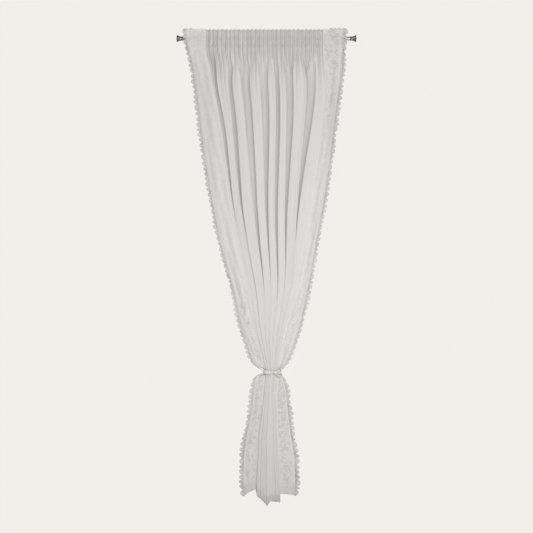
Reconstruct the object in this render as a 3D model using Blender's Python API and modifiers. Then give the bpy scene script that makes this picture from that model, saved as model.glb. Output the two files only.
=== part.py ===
"""Sheer curtain on a rod, drawn in at the waist by a ribbon tie.

Metres, +Z up. The origin is on the rod's axis at the middle of the curtain's heading. The front faces -Y.
The cloth is described by level sections: SECTIONS gives where its seams and edges are at each height,
and FOLD_LINES gives where the ridges and valleys of the voile lie between the two seams.
"""

import math
from collections import namedtuple

import bmesh
import bpy

# Rod and finials
ROD_RADIUS = 0.0095
ROD_LEFT = -0.4387
ROD_RIGHT = 0.4417
ROD_SIDES = 28
FINIAL_LENGTH = 0.033
FINIAL_RIM_RADIUS = 0.019
FINIAL_NECK_RADIUS = 0.0102
FINIAL_COLLAR_RADIUS = 0.0118
FINIAL_COLLAR_LENGTH = 0.005
FINIAL_DOME_HEIGHT = 0.005
FINIAL_RIM_EDGE = 0.002
FINIAL_FLARE = 2.2
FINIAL_CHAMFER = 0.0008
FINIAL_STEPS = 22
METAL_GAP = 0.0003

# Cloth
CLOTH_THICKNESS = 0.0012
SEAM_GAP = 0.0016
TRIM_GAP = 0.0010
PLEATS = 28
BAND_COLUMNS = 4
BAND_BULGE = 0.006
BULGE_FULL_AT = 0.020

# Scalloped edging
EDGING_WIDTH = 0.015
SCALLOP_LENGTH = 0.0285
SCALLOP_VALLEY = 0.45
SCALLOP_SHOULDER = 0.30
EYE_HALF_LENGTH = 0.0046
EYE_HALF_WIDTH = 0.0034
EYE_CENTRE = 0.0070
EDGING_BOTTOM = -2.407
EDGING_TIED_SHARE = 0.45

# Ribbon tie
TIE_CENTRE_X = 0.0320
TIE_CENTRE_Y = -0.0080
TIE_INNER_HALF_WIDTH = 0.0455
TIE_INNER_HALF_DEPTH = 0.0270
TIE_TOP = -1.7405
TIE_BOTTOM = -1.7655
TIE_THICKNESS = 0.0026
TIE_SQUARENESS = 3.0
TIE_STEPS = 40
KNOT_ANGLE = math.radians(-78)
KNOT_PINCH = 0.42
KNOT_PINCH_SPREAD = 0.5
KNOT_SIZE = (0.0100, 0.0062, 0.0080)

FRONT = -1
BACK = 1

# One row for each height. left_edge and right_edge are where the bands end and the edging starts.
# fold_depth is half the depth of the main folds, pleat_depth half that of the pencil pleats.
# edge_y is how far back the outer edges stand, and turn is how far the edging turns from
# pointing outwards (0) to pointing backwards (1).
Section = namedtuple(
    "Section",
    "z left_edge left_seam right_seam right_edge fold_depth pleat_depth centre_y"
    " left_edge_y right_edge_y turn",
)
SECTIONS = [
    Section(0.047, -0.429, -0.317, 0.299, 0.416, 0.000, 0.0075, -0.020, -0.020, -0.020, 0.0),
    Section(-0.008, -0.421, -0.317, 0.299, 0.408, 0.000, 0.0075, -0.020, -0.020, -0.020, 0.0),
    Section(-0.053, -0.411, -0.317, 0.299, 0.406, 0.000, 0.0075, -0.020, -0.020, -0.018, 0.0),
    Section(-0.150, -0.387, -0.296, 0.304, 0.401, 0.012, 0.0055, -0.018, -0.020, -0.006, 0.0),
    Section(-0.271, -0.371, -0.280, 0.312, 0.387, 0.021, 0.0030, -0.016, -0.016, 0.014, 0.0),
    Section(-0.450, -0.348, -0.248, 0.296, 0.362, 0.027, 0.0010, -0.014, -0.010, 0.022, 0.0),
    Section(-0.650, -0.321, -0.220, 0.269, 0.337, 0.029, 0.0000, -0.013, -0.012, 0.020, 0.0),
    Section(-0.850, -0.287, -0.193, 0.241, 0.307, 0.030, 0.0000, -0.012, -0.004, 0.022, 0.0),
    Section(-1.080, -0.241, -0.151, 0.204, 0.265, 0.029, 0.0000, -0.012, 0.006, 0.024, 0.0),
    Section(-1.310, -0.179, -0.102, 0.162, 0.224, 0.028, 0.0000, -0.011, 0.012, 0.020, 0.0),
    Section(-1.533, -0.130, -0.059, 0.097, 0.173, 0.027, 0.0000, -0.010, 0.010, 0.014, 0.0),
    Section(-1.660, -0.086, -0.025, 0.073, 0.129, 0.025, 0.0000, -0.009, 0.006, 0.008, 0.1),
    Section(-1.712, -0.056, -0.012, 0.067, 0.104, 0.023, 0.0000, -0.008, 0.002, 0.002, 0.2),
    Section(-1.738, -0.011, -0.004, 0.065, 0.075, 0.0235, 0.0000, -0.008, -0.003, -0.003, 1.0),
    Section(-1.768, -0.011, -0.004, 0.063, 0.075, 0.0235, 0.0000, -0.008, -0.003, -0.003, 1.0),
    Section(-1.790, -0.057, -0.007, 0.054, 0.090, 0.024, 0.0000, -0.009, 0.000, 0.002, 0.2),
    Section(-1.846, -0.071, -0.012, 0.049, 0.109, 0.027, 0.0000, -0.010, -0.004, 0.004, 0.0),
    Section(-1.954, -0.084, -0.025, 0.055, 0.122, 0.030, 0.0000, -0.012, -0.014, -0.004, 0.0),
    Section(-2.091, -0.111, -0.042, 0.058, 0.139, 0.032, 0.0000, -0.012, -0.010, -0.010, 0.0),
    Section(-2.217, -0.126, -0.048, 0.064, 0.159, 0.033, 0.0000, -0.012, -0.004, -0.006, 0.0),
    Section(-2.322, -0.129, -0.055, 0.070, 0.162, 0.034, 0.0000, -0.012, -0.008, -0.002, 0.0),
    Section(-2.410, -0.118, -0.056, 0.074, 0.157, 0.035, 0.0000, -0.012, -0.012, -0.006, 0.0),
]

# The voile's ridges (FRONT) and valleys (BACK) from the left seam to the right seam. pleat is the
# pencil pleat that each starts from. high, mid and low are its place as a share of the way from seam
# to seam at the three heights of FOLD_HEIGHTS, and depth is its share of the section's fold depth.
FoldLine = namedtuple("FoldLine", "pleat side high mid low depth")
FOLD_LINES = [
    FoldLine(0.0, FRONT, 0.000, 0.000, 0.000, 0.55),
    FoldLine(1.5, BACK, 0.035, 0.040, 0.060, 0.60),
    FoldLine(3.0, FRONT, 0.090, 0.085, 0.133, 0.45),
    FoldLine(5.5, BACK, 0.155, 0.145, 0.203, 0.85),
    FoldLine(7.0, FRONT, 0.223, 0.223, 0.285, 0.90),
    FoldLine(9.5, BACK, 0.316, 0.309, 0.348, 0.80),
    FoldLine(12.0, FRONT, 0.392, 0.383, 0.433, 0.95),
    FoldLine(13.5, BACK, 0.458, 0.454, 0.494, 1.00),
    FoldLine(15.0, FRONT, 0.525, 0.509, 0.551, 0.80),
    FoldLine(16.5, BACK, 0.574, 0.565, 0.627, 0.75),
    FoldLine(18.0, FRONT, 0.622, 0.629, 0.715, 0.90),
    FoldLine(19.5, BACK, 0.684, 0.691, 0.785, 0.95),
    FoldLine(22.0, FRONT, 0.752, 0.770, 0.860, 1.00),
    FoldLine(25.5, BACK, 0.880, 0.843, 0.920, 0.80),
    FoldLine(27.0, FRONT, 0.951, 0.933, 0.965, 0.85),
    FoldLine(28.0, FRONT, 1.000, 1.000, 1.000, 0.70),
]
HEADING_END = -0.053
FOLD_HEIGHTS = (-0.271, -0.850, -1.533)
EVEN_FROM = -1.712

# Height of the bottom edge, by share of the way across each cloth from left to right
HEM_VOILE = [(0.0, -2.412), (0.2, -2.433), (0.42, -2.454), (0.62, -2.427), (1.0, -2.438)]
HEM_LEFT_BAND = [(0.0, EDGING_BOTTOM), (0.45, -2.385), (1.0, -2.367)]
HEM_RIGHT_BAND = [(0.0, -2.391), (0.5, -2.396), (1.0, EDGING_BOTTOM)]

# The heading tape in side view, from its top edge over the back of the rod to its bottom edge
TapeRow = namedtuple("TapeRow", "z y pleat_depth")
TAPE_ROWS = [
    TapeRow(0.032, -0.016, 0.0075),
    TapeRow(0.023, -0.008, 0.0050),
    TapeRow(0.0155, 0.005, 0.0025),
    TapeRow(0.005, 0.0160, 0.0015),
    TapeRow(-0.006, 0.0160, 0.0015),
    TapeRow(-0.016, 0.005, 0.0025),
    TapeRow(-0.034, -0.016, 0.0075),
    TapeRow(-0.053, -0.016, 0.0075),
]
TAPE_LEFT = -0.405
TAPE_RIGHT = 0.400

# The two ends of the tie: the points that each runs through, beside the knot
END_UPPER = [
    (0.044, -0.0400, -1.7520),
    (0.056, -0.0425, -1.7465),
    (0.068, -0.0395, -1.7420),
    (0.077, -0.0330, -1.7375),
]
END_LOWER = [
    (0.044, -0.0400, -1.7560),
    (0.054, -0.0430, -1.7625),
    (0.065, -0.0405, -1.7700),
    (0.073, -0.0345, -1.7770),
]
END_SIDES = 6
END_ROOT_SHARE = 0.55
END_LEAN = 0.25
END_HALF_WIDTH = 0.0052
END_HALF_THICKNESS = 0.0012


def between(points, at):
    """The value at a place in a list of (place, value) rows, straight from row to row."""
    rows = sorted(points)
    if at <= rows[0][0]:
        return rows[0][1]
    for (start, first), (end, second) in zip(rows, rows[1:]):
        if at <= end:
            return first + (second - first) * (at - start) / (end - start)
    return rows[-1][1]


def section_at(z):
    """The section at a height, between the rows of SECTIONS."""
    columns = zip(*SECTIONS)
    heights = next(columns)
    values = [between(list(zip(heights, column)), z) for column in columns]
    return Section(z, *values)


def line_share(index, z):
    """How far across from seam to seam a fold line lies at a height."""
    line = FOLD_LINES[index]
    shares = [
        (HEADING_END, line.pleat / PLEATS),
        (FOLD_HEIGHTS[0], line.high),
        (FOLD_HEIGHTS[1], line.mid),
        (FOLD_HEIGHTS[2], line.low),
        (EVEN_FROM, index / (len(FOLD_LINES) - 1)),
    ]
    return between(shares, z)


def voile_point(pleat, z):
    """(x, y) of the voile's middle surface at a pleat number and a height."""
    here = section_at(z)
    after = next(i for i, line in enumerate(FOLD_LINES) if i > 0 and pleat <= line.pleat)
    first, second = FOLD_LINES[after - 1], FOLD_LINES[after]
    part = (pleat - first.pleat) / (second.pleat - first.pleat)
    share = line_share(after - 1, z) * (1 - part) + line_share(after, z) * part
    x = here.left_seam + (here.right_seam - here.left_seam) * share
    rounded = (1 - math.cos(math.pi * part)) / 2
    fold = first.side * first.depth * (1 - rounded) + second.side * second.depth * rounded
    y = here.centre_y + here.fold_depth * fold - here.pleat_depth * math.cos(2 * math.pi * pleat)
    return x, y


def band_point(side, part, z):
    """(x, y) of a lace band's middle surface, from its seam (part 0) to its outer edge (part 1)."""
    here = section_at(z)
    if side < 0:
        seam_x, edge_x, edge_y = here.left_seam, here.left_edge, here.left_edge_y
        seam_y = voile_point(0, z)[1]
    else:
        seam_x, edge_x, edge_y = here.right_seam, here.right_edge, here.right_edge_y
        seam_y = voile_point(PLEATS, z)[1]
    start_x = seam_x + side * SEAM_GAP
    looseness = min(1.0, here.fold_depth / BULGE_FULL_AT) * (1 - here.turn)
    bulge = BAND_BULGE * math.sin(math.pi * part) * looseness
    x = start_x + (edge_x - start_x) * part
    y = seam_y + (edge_y - seam_y) * part - bulge
    return x, y


def material(name, colour, roughness, metallic=0.0):
    """A plain material in the part's own colour."""
    made = bpy.data.materials.new(name)
    made.use_nodes = True
    shader = made.node_tree.nodes["Principled BSDF"]
    shader.inputs["Base Color"].default_value = (*colour, 1.0)
    shader.inputs["Roughness"].default_value = roughness
    shader.inputs["Metallic"].default_value = metallic
    made.diffuse_color = (*colour, 1.0)
    return made


def clear_scene():
    for thing in list(bpy.data.objects):
        bpy.data.objects.remove(thing, do_unlink=True)


def new_object(name, mesh, collection, finish):
    """An object for a mesh, in its collection and with its material."""
    made = bpy.data.objects.new(name, mesh)
    mesh.materials.append(finish)
    collection.objects.link(made)
    return made


def grid_mesh(name, rows):
    """A sheet of four-sided faces through rows of points, all rows of the same length."""
    columns = len(rows[0])
    points = [point for row in rows for point in row]
    faces = []
    for r in range(len(rows) - 1):
        for c in range(columns - 1):
            corner = r * columns + c
            faces.append((corner, corner + columns, corner + columns + 1, corner + 1))
    mesh = bpy.data.meshes.new(name)
    mesh.from_pydata(points, [], faces)
    return mesh


def thicken(cloth):
    """Gives a sheet its thickness, half to each side, and smooth shading."""
    cloth.data.shade_smooth()
    solidify = cloth.modifiers.new("Thickness", "SOLIDIFY")
    solidify.thickness = CLOTH_THICKNESS
    solidify.offset = 0.0
    return cloth


def rows_to_hem(hem):
    """Heights of a cloth's rows at a share of the way across, the last one on its bottom edge."""
    return lambda share: [row.z for row in SECTIONS[:-1]] + [between(hem, share)]


def make_voile(collection, finish):
    heights = rows_to_hem(HEM_VOILE)
    columns = []
    for half_pleat in range(2 * PLEATS + 1):
        pleat = half_pleat / 2
        column = []
        for z in heights(pleat / PLEATS):
            x, y = voile_point(pleat, z)
            column.append((x, y, z))
        columns.append(column)
    rows = list(zip(*columns))
    return thicken(new_object("voile_panel", grid_mesh("voile_panel", rows), collection, finish))


def make_band(side, collection, finish):
    name = "lace_band_left" if side < 0 else "lace_band_right"
    heights = rows_to_hem(HEM_LEFT_BAND if side < 0 else HEM_RIGHT_BAND)
    columns = []
    for step in range(BAND_COLUMNS + 1):
        part = step / BAND_COLUMNS
        share = 1 - part if side < 0 else part
        column = []
        for z in heights(share):
            x, y = band_point(side, part, z)
            column.append((x, y, z))
        columns.append(column)
    rows = list(zip(*columns))
    return thicken(new_object(name, grid_mesh(name, rows), collection, finish))


def edging_point(side, reach, z):
    """A point of the edging, this far out from the band's outer edge."""
    here = section_at(z)
    x, y = band_point(side, 1.0, z)
    angle = here.turn * math.pi / 2
    reach = TRIM_GAP + reach * (1 - (1 - EDGING_TIED_SHARE) * here.turn)
    return x + side * reach * math.cos(angle), y + reach * math.sin(angle), z


def scallop_heights():
    """Where each scallop begins and ends, and whether it has an eye. None has one inside the tie."""
    spans = []
    for upper, lower in zip(SECTIONS, SECTIONS[1:]):
        bottom = max(lower.z, EDGING_BOTTOM)
        count = max(1, round((upper.z - bottom) / SCALLOP_LENGTH))
        in_tie = upper.turn + lower.turn > 1
        for i in range(count):
            start = upper.z + (bottom - upper.z) * i / count
            end = upper.z + (bottom - upper.z) * (i + 1) / count
            spans.append((start, end, not in_tie))
    return spans


def make_edging(side, collection, finish):
    """A strip of scallops, each with an eye cut through it."""
    name = "lace_edging_left" if side < 0 else "lace_edging_right"
    spans = scallop_heights()
    shape = bmesh.new()

    def add(reach, z):
        return shape.verts.new(edging_point(side, reach, z))

    valley = SCALLOP_VALLEY * EDGING_WIDTH
    inner, outer = add(0.0, spans[0][0]), add(valley, spans[0][0])
    for start, end, has_eye in spans:
        next_inner, next_outer = add(0.0, end), add(valley, end)
        if not has_eye:
            shape.faces.new((inner, outer, next_outer, next_inner))
            inner, outer = next_inner, next_outer
            continue
        middle = (start + end) / 2
        shoulder = SCALLOP_SHOULDER * (start - end)
        upper = add(EDGING_WIDTH, start - shoulder)
        lower = add(EDGING_WIDTH, end + shoulder)
        eye_top = add(EYE_CENTRE, middle + EYE_HALF_LENGTH)
        eye_out = add(EYE_CENTRE + EYE_HALF_WIDTH, middle)
        eye_low = add(EYE_CENTRE, middle - EYE_HALF_LENGTH)
        eye_in = add(EYE_CENTRE - EYE_HALF_WIDTH, middle)
        around = (inner, outer, upper, lower, next_outer, next_inner)
        nearest = (eye_top, eye_top, eye_out, eye_low, eye_low, eye_in)
        for i in range(6):
            follows = (i + 1) % 6
            shape.faces.new((around[i], around[follows], nearest[i]))
            if nearest[i] is not nearest[follows]:
                shape.faces.new((around[follows], nearest[follows], nearest[i]))
        inner, outer = next_inner, next_outer
    bmesh.ops.recalc_face_normals(shape, faces=shape.faces)
    mesh = bpy.data.meshes.new(name)
    shape.to_mesh(mesh)
    shape.free()
    return thicken(new_object(name, mesh, collection, finish))


def make_tape(collection, finish):
    """The strip behind the heading. It keeps to the pleats above and below the rod."""
    first, last = SECTIONS[0].left_seam, SECTIONS[0].right_seam
    places = [(TAPE_LEFT, 0.0), ((TAPE_LEFT + first) / 2, 0.0)]
    for half_pleat in range(2 * PLEATS + 1):
        wave = -math.cos(math.pi * half_pleat)
        places.append((first + (last - first) * half_pleat / (2 * PLEATS), wave))
    places += [((TAPE_RIGHT + last) / 2, 0.0), (TAPE_RIGHT, 0.0)]
    rows = [[(x, row.y + row.pleat_depth * wave, row.z) for x, wave in places] for row in TAPE_ROWS]
    return thicken(new_object("heading_tape", grid_mesh("heading_tape", rows), collection, finish))


def make_rod(collection, finish):
    length = ROD_RIGHT - ROD_LEFT
    bpy.ops.mesh.primitive_cylinder_add(
        vertices=ROD_SIDES,
        radius=ROD_RADIUS,
        depth=length,
        location=((ROD_LEFT + ROD_RIGHT) / 2, 0, 0),
        rotation=(0, math.pi / 2, 0),
    )
    rod = bpy.context.object
    rod.name = "rod"
    rod.data.shade_smooth()
    rod.data.set_sharp_from_angle(angle=math.radians(40))
    rod.data.materials.append(finish)
    for holder in list(rod.users_collection):
        holder.objects.unlink(rod)
    collection.objects.link(rod)
    return rod


def finial_profile():
    """(radius, height) from the domed end down the trumpet to the collar on the rod."""
    rim_height = FINIAL_LENGTH - FINIAL_DOME_HEIGHT
    profile = []
    for step in range(4):
        angle = math.pi / 2 * step / 3
        height = rim_height + FINIAL_DOME_HEIGHT * math.cos(angle)
        profile.append((FINIAL_RIM_RADIUS * math.sin(angle), height))
    profile.append((FINIAL_RIM_RADIUS, rim_height - FINIAL_RIM_EDGE))
    flare_length = rim_height - FINIAL_RIM_EDGE - FINIAL_COLLAR_LENGTH
    for step in range(1, 5):
        part = 1 - step / 4
        radius = FINIAL_NECK_RADIUS + (FINIAL_RIM_RADIUS - FINIAL_NECK_RADIUS) * part**FINIAL_FLARE
        profile.append((radius, FINIAL_COLLAR_LENGTH + flare_length * part))
    profile.append((FINIAL_COLLAR_RADIUS, FINIAL_COLLAR_LENGTH - FINIAL_CHAMFER))
    profile.append((FINIAL_COLLAR_RADIUS, 0.0))
    profile.append((0.0, 0.0))
    return profile


def make_finial(side, collection, finish):
    """A turned trumpet, its own axis along the rod."""
    name = "finial_left" if side < 0 else "finial_right"
    profile = finial_profile()
    mesh = bpy.data.meshes.new(name)
    edges = [(i, i + 1) for i in range(len(profile) - 1)]
    mesh.from_pydata([(radius, 0, height) for radius, height in profile], edges, [])
    finial = new_object(name, mesh, collection, finish)
    screw = finial.modifiers.new("Turn", "SCREW")
    screw.axis = "Z"
    screw.steps = FINIAL_STEPS
    screw.render_steps = FINIAL_STEPS
    screw.use_merge_vertices = True
    screw.merge_threshold = 0.00001
    screw.use_smooth_shade = True
    end = ROD_LEFT if side < 0 else ROD_RIGHT
    finial.location = (end + side * METAL_GAP, 0, 0)
    finial.rotation_euler = (0, side * math.pi / 2, 0)
    return finial


def oval_point(angle, half_width, half_depth):
    """A point of the rounded oval that the tie makes round the cloth."""
    cosine, sine = math.cos(angle), math.sin(angle)
    power = 2 / TIE_SQUARENESS
    x = TIE_CENTRE_X + half_width * math.copysign(abs(cosine) ** power, cosine)
    y = TIE_CENTRE_Y + half_depth * math.copysign(abs(sine) ** power, sine)
    return x, y


def make_tie_ring():
    """The ribbon round the waist, gathered narrower where it enters the knot."""
    middle = (TIE_TOP + TIE_BOTTOM) / 2
    half_height = (TIE_TOP - TIE_BOTTOM) / 2
    # Places round the ribbon's own section, as (out through its thickness, up its height)
    outline = [(0, -0.92), (0, 0), (0, 0.92), (0.75, 1.0), (1, 0.4), (1, -0.4), (0.75, -1.0)]
    points, faces = [], []
    for step in range(TIE_STEPS):
        angle = 2 * math.pi * step / TIE_STEPS
        away = abs((angle - KNOT_ANGLE + math.pi) % (2 * math.pi) - math.pi)
        pinch = 1 - (1 - KNOT_PINCH) * math.exp(-((away / KNOT_PINCH_SPREAD) ** 2))
        for out, up in outline:
            thick = out * TIE_THICKNESS
            x, y = oval_point(angle, TIE_INNER_HALF_WIDTH + thick, TIE_INNER_HALF_DEPTH + thick)
            points.append((x, y, middle + up * half_height * pinch))
    count = len(outline)
    for step in range(TIE_STEPS):
        here, after = step * count, (step + 1) % TIE_STEPS * count
        for place in range(count):
            beside = (place + 1) % count
            faces.append((here + place, after + place, after + beside, here + beside))
    mesh = bpy.data.meshes.new("tie")
    mesh.from_pydata(points, [], faces)
    return mesh


def make_end(name, route):
    """A short ribbon end along its route, wider towards its tip."""
    points, faces = [], []
    for index, (x, y, z) in enumerate(route):
        grow = END_ROOT_SHARE + (1 - END_ROOT_SHARE) * index / (len(route) - 1)
        for side in range(END_SIDES):
            angle = 2 * math.pi * side / END_SIDES
            across = END_HALF_WIDTH * grow * math.cos(angle)
            through = END_HALF_THICKNESS * math.sin(angle)
            points.append((x + END_LEAN * across, y + through, z + across))
    for index in range(len(route) - 1):
        for side in range(END_SIDES):
            beside = (side + 1) % END_SIDES
            low, high = index * END_SIDES, (index + 1) * END_SIDES
            faces.append((low + side, high + side, high + beside, low + beside))
    faces.append(tuple(range(END_SIDES)))
    faces.append(tuple(reversed(range((len(route) - 1) * END_SIDES, len(route) * END_SIDES))))
    mesh = bpy.data.meshes.new(name)
    mesh.from_pydata(points, [], faces)
    return mesh


def make_outward(mesh):
    shape = bmesh.new()
    shape.from_mesh(mesh)
    bmesh.ops.recalc_face_normals(shape, faces=shape.faces)
    shape.to_mesh(mesh)
    shape.free()


def make_tie(collection, helpers, finish):
    """The ribbon, its knot and its two ends, joined into one body."""
    tie = new_object("tie", make_tie_ring(), collection, finish)
    knot_x, knot_y = oval_point(KNOT_ANGLE, TIE_INNER_HALF_WIDTH, TIE_INNER_HALF_DEPTH)
    bpy.ops.mesh.primitive_uv_sphere_add(
        segments=14,
        ring_count=8,
        radius=1.0,
        location=(knot_x, knot_y - KNOT_SIZE[1], (TIE_TOP + TIE_BOTTOM) / 2),
        scale=KNOT_SIZE,
    )
    knot = bpy.context.object
    knot.name = "knot_form"
    for holder in list(knot.users_collection):
        holder.objects.unlink(knot)
    helpers.objects.link(knot)
    upper = new_object("end_upper_form", make_end("end_upper_form", END_UPPER), helpers, finish)
    lower = new_object("end_lower_form", make_end("end_lower_form", END_LOWER), helpers, finish)
    make_outward(tie.data)
    for form in (knot, upper, lower):
        make_outward(form.data)
        form.hide_render = True
        form.display_type = "WIRE"
        join = tie.modifiers.new("Join " + form.name, "BOOLEAN")
        join.operation = "UNION"
        join.solver = "EXACT"
        join.object = form
    return tie


def main():
    clear_scene()
    collection = bpy.data.collections.new("sheer_curtain_on_a_rod")
    helpers = bpy.data.collections.new("helpers")
    bpy.context.scene.collection.children.link(collection)
    bpy.context.scene.collection.children.link(helpers)
    metal = material("dark_nickel", (0.22, 0.21, 0.20), 0.28, metallic=1.0)
    voile = material("voile", (0.80, 0.79, 0.76), 0.9)
    lace = material("lace_net", (0.76, 0.75, 0.72), 0.9)
    trim = material("lace_trim", (0.68, 0.67, 0.64), 0.9)
    tape = material("tape", (0.82, 0.81, 0.78), 0.85)
    ribbon = material("ribbon", (0.80, 0.76, 0.62), 0.6)
    make_rod(collection, metal)
    make_voile(collection, voile)
    make_tape(collection, tape)
    make_tie(collection, helpers, ribbon)
    for side in (-1, 1):
        make_finial(side, collection, metal)
        make_band(side, collection, lace)
        make_edging(side, collection, trim)
    hanging_point = bpy.data.objects.new("hanging_point", None)
    collection.objects.link(hanging_point)
    for piece in list(collection.objects):
        if piece is not hanging_point:
            piece.parent = hanging_point


main()
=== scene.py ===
"""Looks of the sheer curtain on its rod, drawn in at the waist by a ribbon tie.

Metres, +Z up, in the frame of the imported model: the origin is on the rod's axis at the middle of the heading
and the curtain's front faces -Y. Every cloth is a thin sheet worked out from level sections and fold lines.
"""

import math
from collections import namedtuple

import bmesh
import bpy
import numpy as np
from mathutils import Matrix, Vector


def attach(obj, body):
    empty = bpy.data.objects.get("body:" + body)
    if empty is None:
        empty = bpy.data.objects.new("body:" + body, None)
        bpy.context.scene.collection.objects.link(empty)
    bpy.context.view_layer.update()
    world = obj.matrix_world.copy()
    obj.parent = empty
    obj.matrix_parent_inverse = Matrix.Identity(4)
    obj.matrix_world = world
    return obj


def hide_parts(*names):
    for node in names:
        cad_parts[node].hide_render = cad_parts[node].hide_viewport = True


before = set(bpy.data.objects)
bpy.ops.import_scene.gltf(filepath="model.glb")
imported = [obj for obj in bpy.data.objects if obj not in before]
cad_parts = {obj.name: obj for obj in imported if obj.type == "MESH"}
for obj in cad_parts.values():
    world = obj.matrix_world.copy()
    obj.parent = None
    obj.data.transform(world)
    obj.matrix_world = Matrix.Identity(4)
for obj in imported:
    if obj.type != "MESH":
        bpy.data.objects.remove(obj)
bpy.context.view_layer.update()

chance = np.random.default_rng(11)

FRONT = -1
BACK = 1
LEFT = -1
RIGHT = 1
SIDE_NAMES = {LEFT: "left", RIGHT: "right"}

# View of the photograph
PHOTO_PIXELS = 533
PIXEL_SIZE = 0.00526
CAMERA_DISTANCE = 8.0
CAMERA_X = 0.0016
CAMERA_Z = -1.199
SENSOR_WIDTH = 36.0

# Rod and finials
ROD_RADIUS = 0.0095
ROD_LEFT = -0.4387
ROD_RIGHT = 0.4417
FINIAL_LENGTH = 0.033
FINIAL_RIM_RADIUS = 0.019
FINIAL_NECK_RADIUS = 0.0102
FINIAL_COLLAR_RADIUS = 0.0118
FINIAL_COLLAR_LENGTH = 0.005
FINIAL_DOME_HEIGHT = 0.005
FINIAL_RIM_EDGE = 0.002
FINIAL_FLARE = 2.2
FINIAL_STEPS = 72
METAL_GAP = 0.0003

# Cloth
PLEATS = 28
COLUMNS_PER_PLEAT = 16
HEADING_TOP = 0.047
HEADING_END = -0.053
FOLD_HEIGHTS = (-0.271, -0.850, -1.533)
EVEN_FROM = -1.712
FOOT_AT = -2.091
HEM_FROM = -2.300
ROWS_END = -2.400
TURN_ROUND = 0.0008
HEM_RISES_BEHIND = 0.12
HEM_HEIGHT_VOILE = 0.040
HEM_HEIGHT_BAND = 0.055
LAYER_GAP = 0.0014
BAND_BULGE = 0.0045
BULGE_FULL_AT = 0.020
BAND_FLAT_WIDTH = 0.105
VOILE_FLAT_WIDTH = 1.15
SEWN_LINES = (-0.0115, -0.0526)
SEAMS_END = -2.298
HEADING_TURNED = 0.012
PLEAT_LEAN_SIZE = 0.0013
PENCIL_SHARPNESS = 1.10
STITCH_LENGTH = 0.0028
STITCH_PITCH = 0.0044
STITCH_RADIUS = 0.00035

# Heights, and the size of the small creases at each
CREASE_HEIGHTS = (0.0, -0.06, -0.30, -0.65, -1.08, -1.40, -1.66, -1.75, -1.85, -2.10, -2.41)
CREASE_SIZES = (0.0, 0.0002, 0.0006, 0.0010, 0.0011, 0.0011, 0.0011, 0.0007, 0.0008, 0.0010, 0.0010)

# Lace of the bands, at distances from their outer edge
BAND_COLUMNS = 45
BAND_ROWS = 900
LEAF_PITCH = 0.088
LEAF_CENTRE = 0.052
LEAF_HALF_WIDTH = 0.0175
LEAF_HALF_LENGTH = 0.036
FLOWER_RADIUS = 0.0125
BORDER_AT = 0.078
BORDER_SWAY = 0.0035
BORDER_PITCH = 0.044
DENSE_STRIP = 0.013
GROUND_END = 0.103
LADDER_AT = 0.0165
LADDER_OPEN = 0.55
RUNG_PITCH = 0.0060
RIB_PITCH = 0.0105
LACE_GROUND = 0.60
LACE_OPEN = 0.10
LACE_RELIEF = 0.0006

# Scalloped edging
EDGING_WIDTH = 0.0195
SCALLOP_LENGTH = 0.0285
SCALLOP_VALLEY = 0.24
EDGING_BOTTOM = -2.407
EDGING_TIED_SHARE = 0.45
EDGING_OVERLAPS = (0.003, 0.0085)
EDGING_RELIEF = 0.0006
CORNER_SCALLOPS = {LEFT: 2, RIGHT: 4}
CORNER_PITCH = 0.72
CORNER_HEIGHT = 0.0425
CORNER_REACH = (0.0095, 0.0135)
SCALLOP_SHIFT = 0.24
SCALLOP_TURN = 0.85
SCALLOP_REACH = (0.72, 1.18)
SCALLOP_CUP = 0.0016
PICOT = 0.09
PICOTS = 5
EDGING_THICKNESS = 0.0007
SPOKES = 36
SPOKE_SPREAD = 1.9
RINGS = (0.0, 0.12, 0.30, 0.50, 0.70, 0.86, 1.0)
EYE_CENTRE = (0.5, 0.52)
EYE_HALF_SIZE = (0.060, 0.085)

# Ribbon tie
TIE_CENTRE_X = 0.0320
TIE_CENTRE_Y = -0.0080
TIE_INNER_HALF_WIDTH = 0.0455
TIE_INNER_HALF_DEPTH = 0.0270
TIE_TOP = -1.7405
TIE_BOTTOM = -1.7655
TIE_MIDDLE = (TIE_TOP + TIE_BOTTOM) / 2
TIE_SQUARENESS = 3.0
RIBBON_WIDTH = 0.025
RIBBON_THICKNESS = 0.0005
KNOT_ANGLE = math.radians(-78)
KNOT_SIZE = (0.0100, 0.0062, 0.0080)
RIBBON_EDGE = (0.56, 0.545, 0.45)

# Light
BACKDROP = (0.871, 0.863, 0.823)
SKY_FRONT = 1.06
SKY_ROUND = 0.54
SKY_STEEP = 0.55
KEY_POWER = 28.2
HEADING_POWER = 1.45

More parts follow.
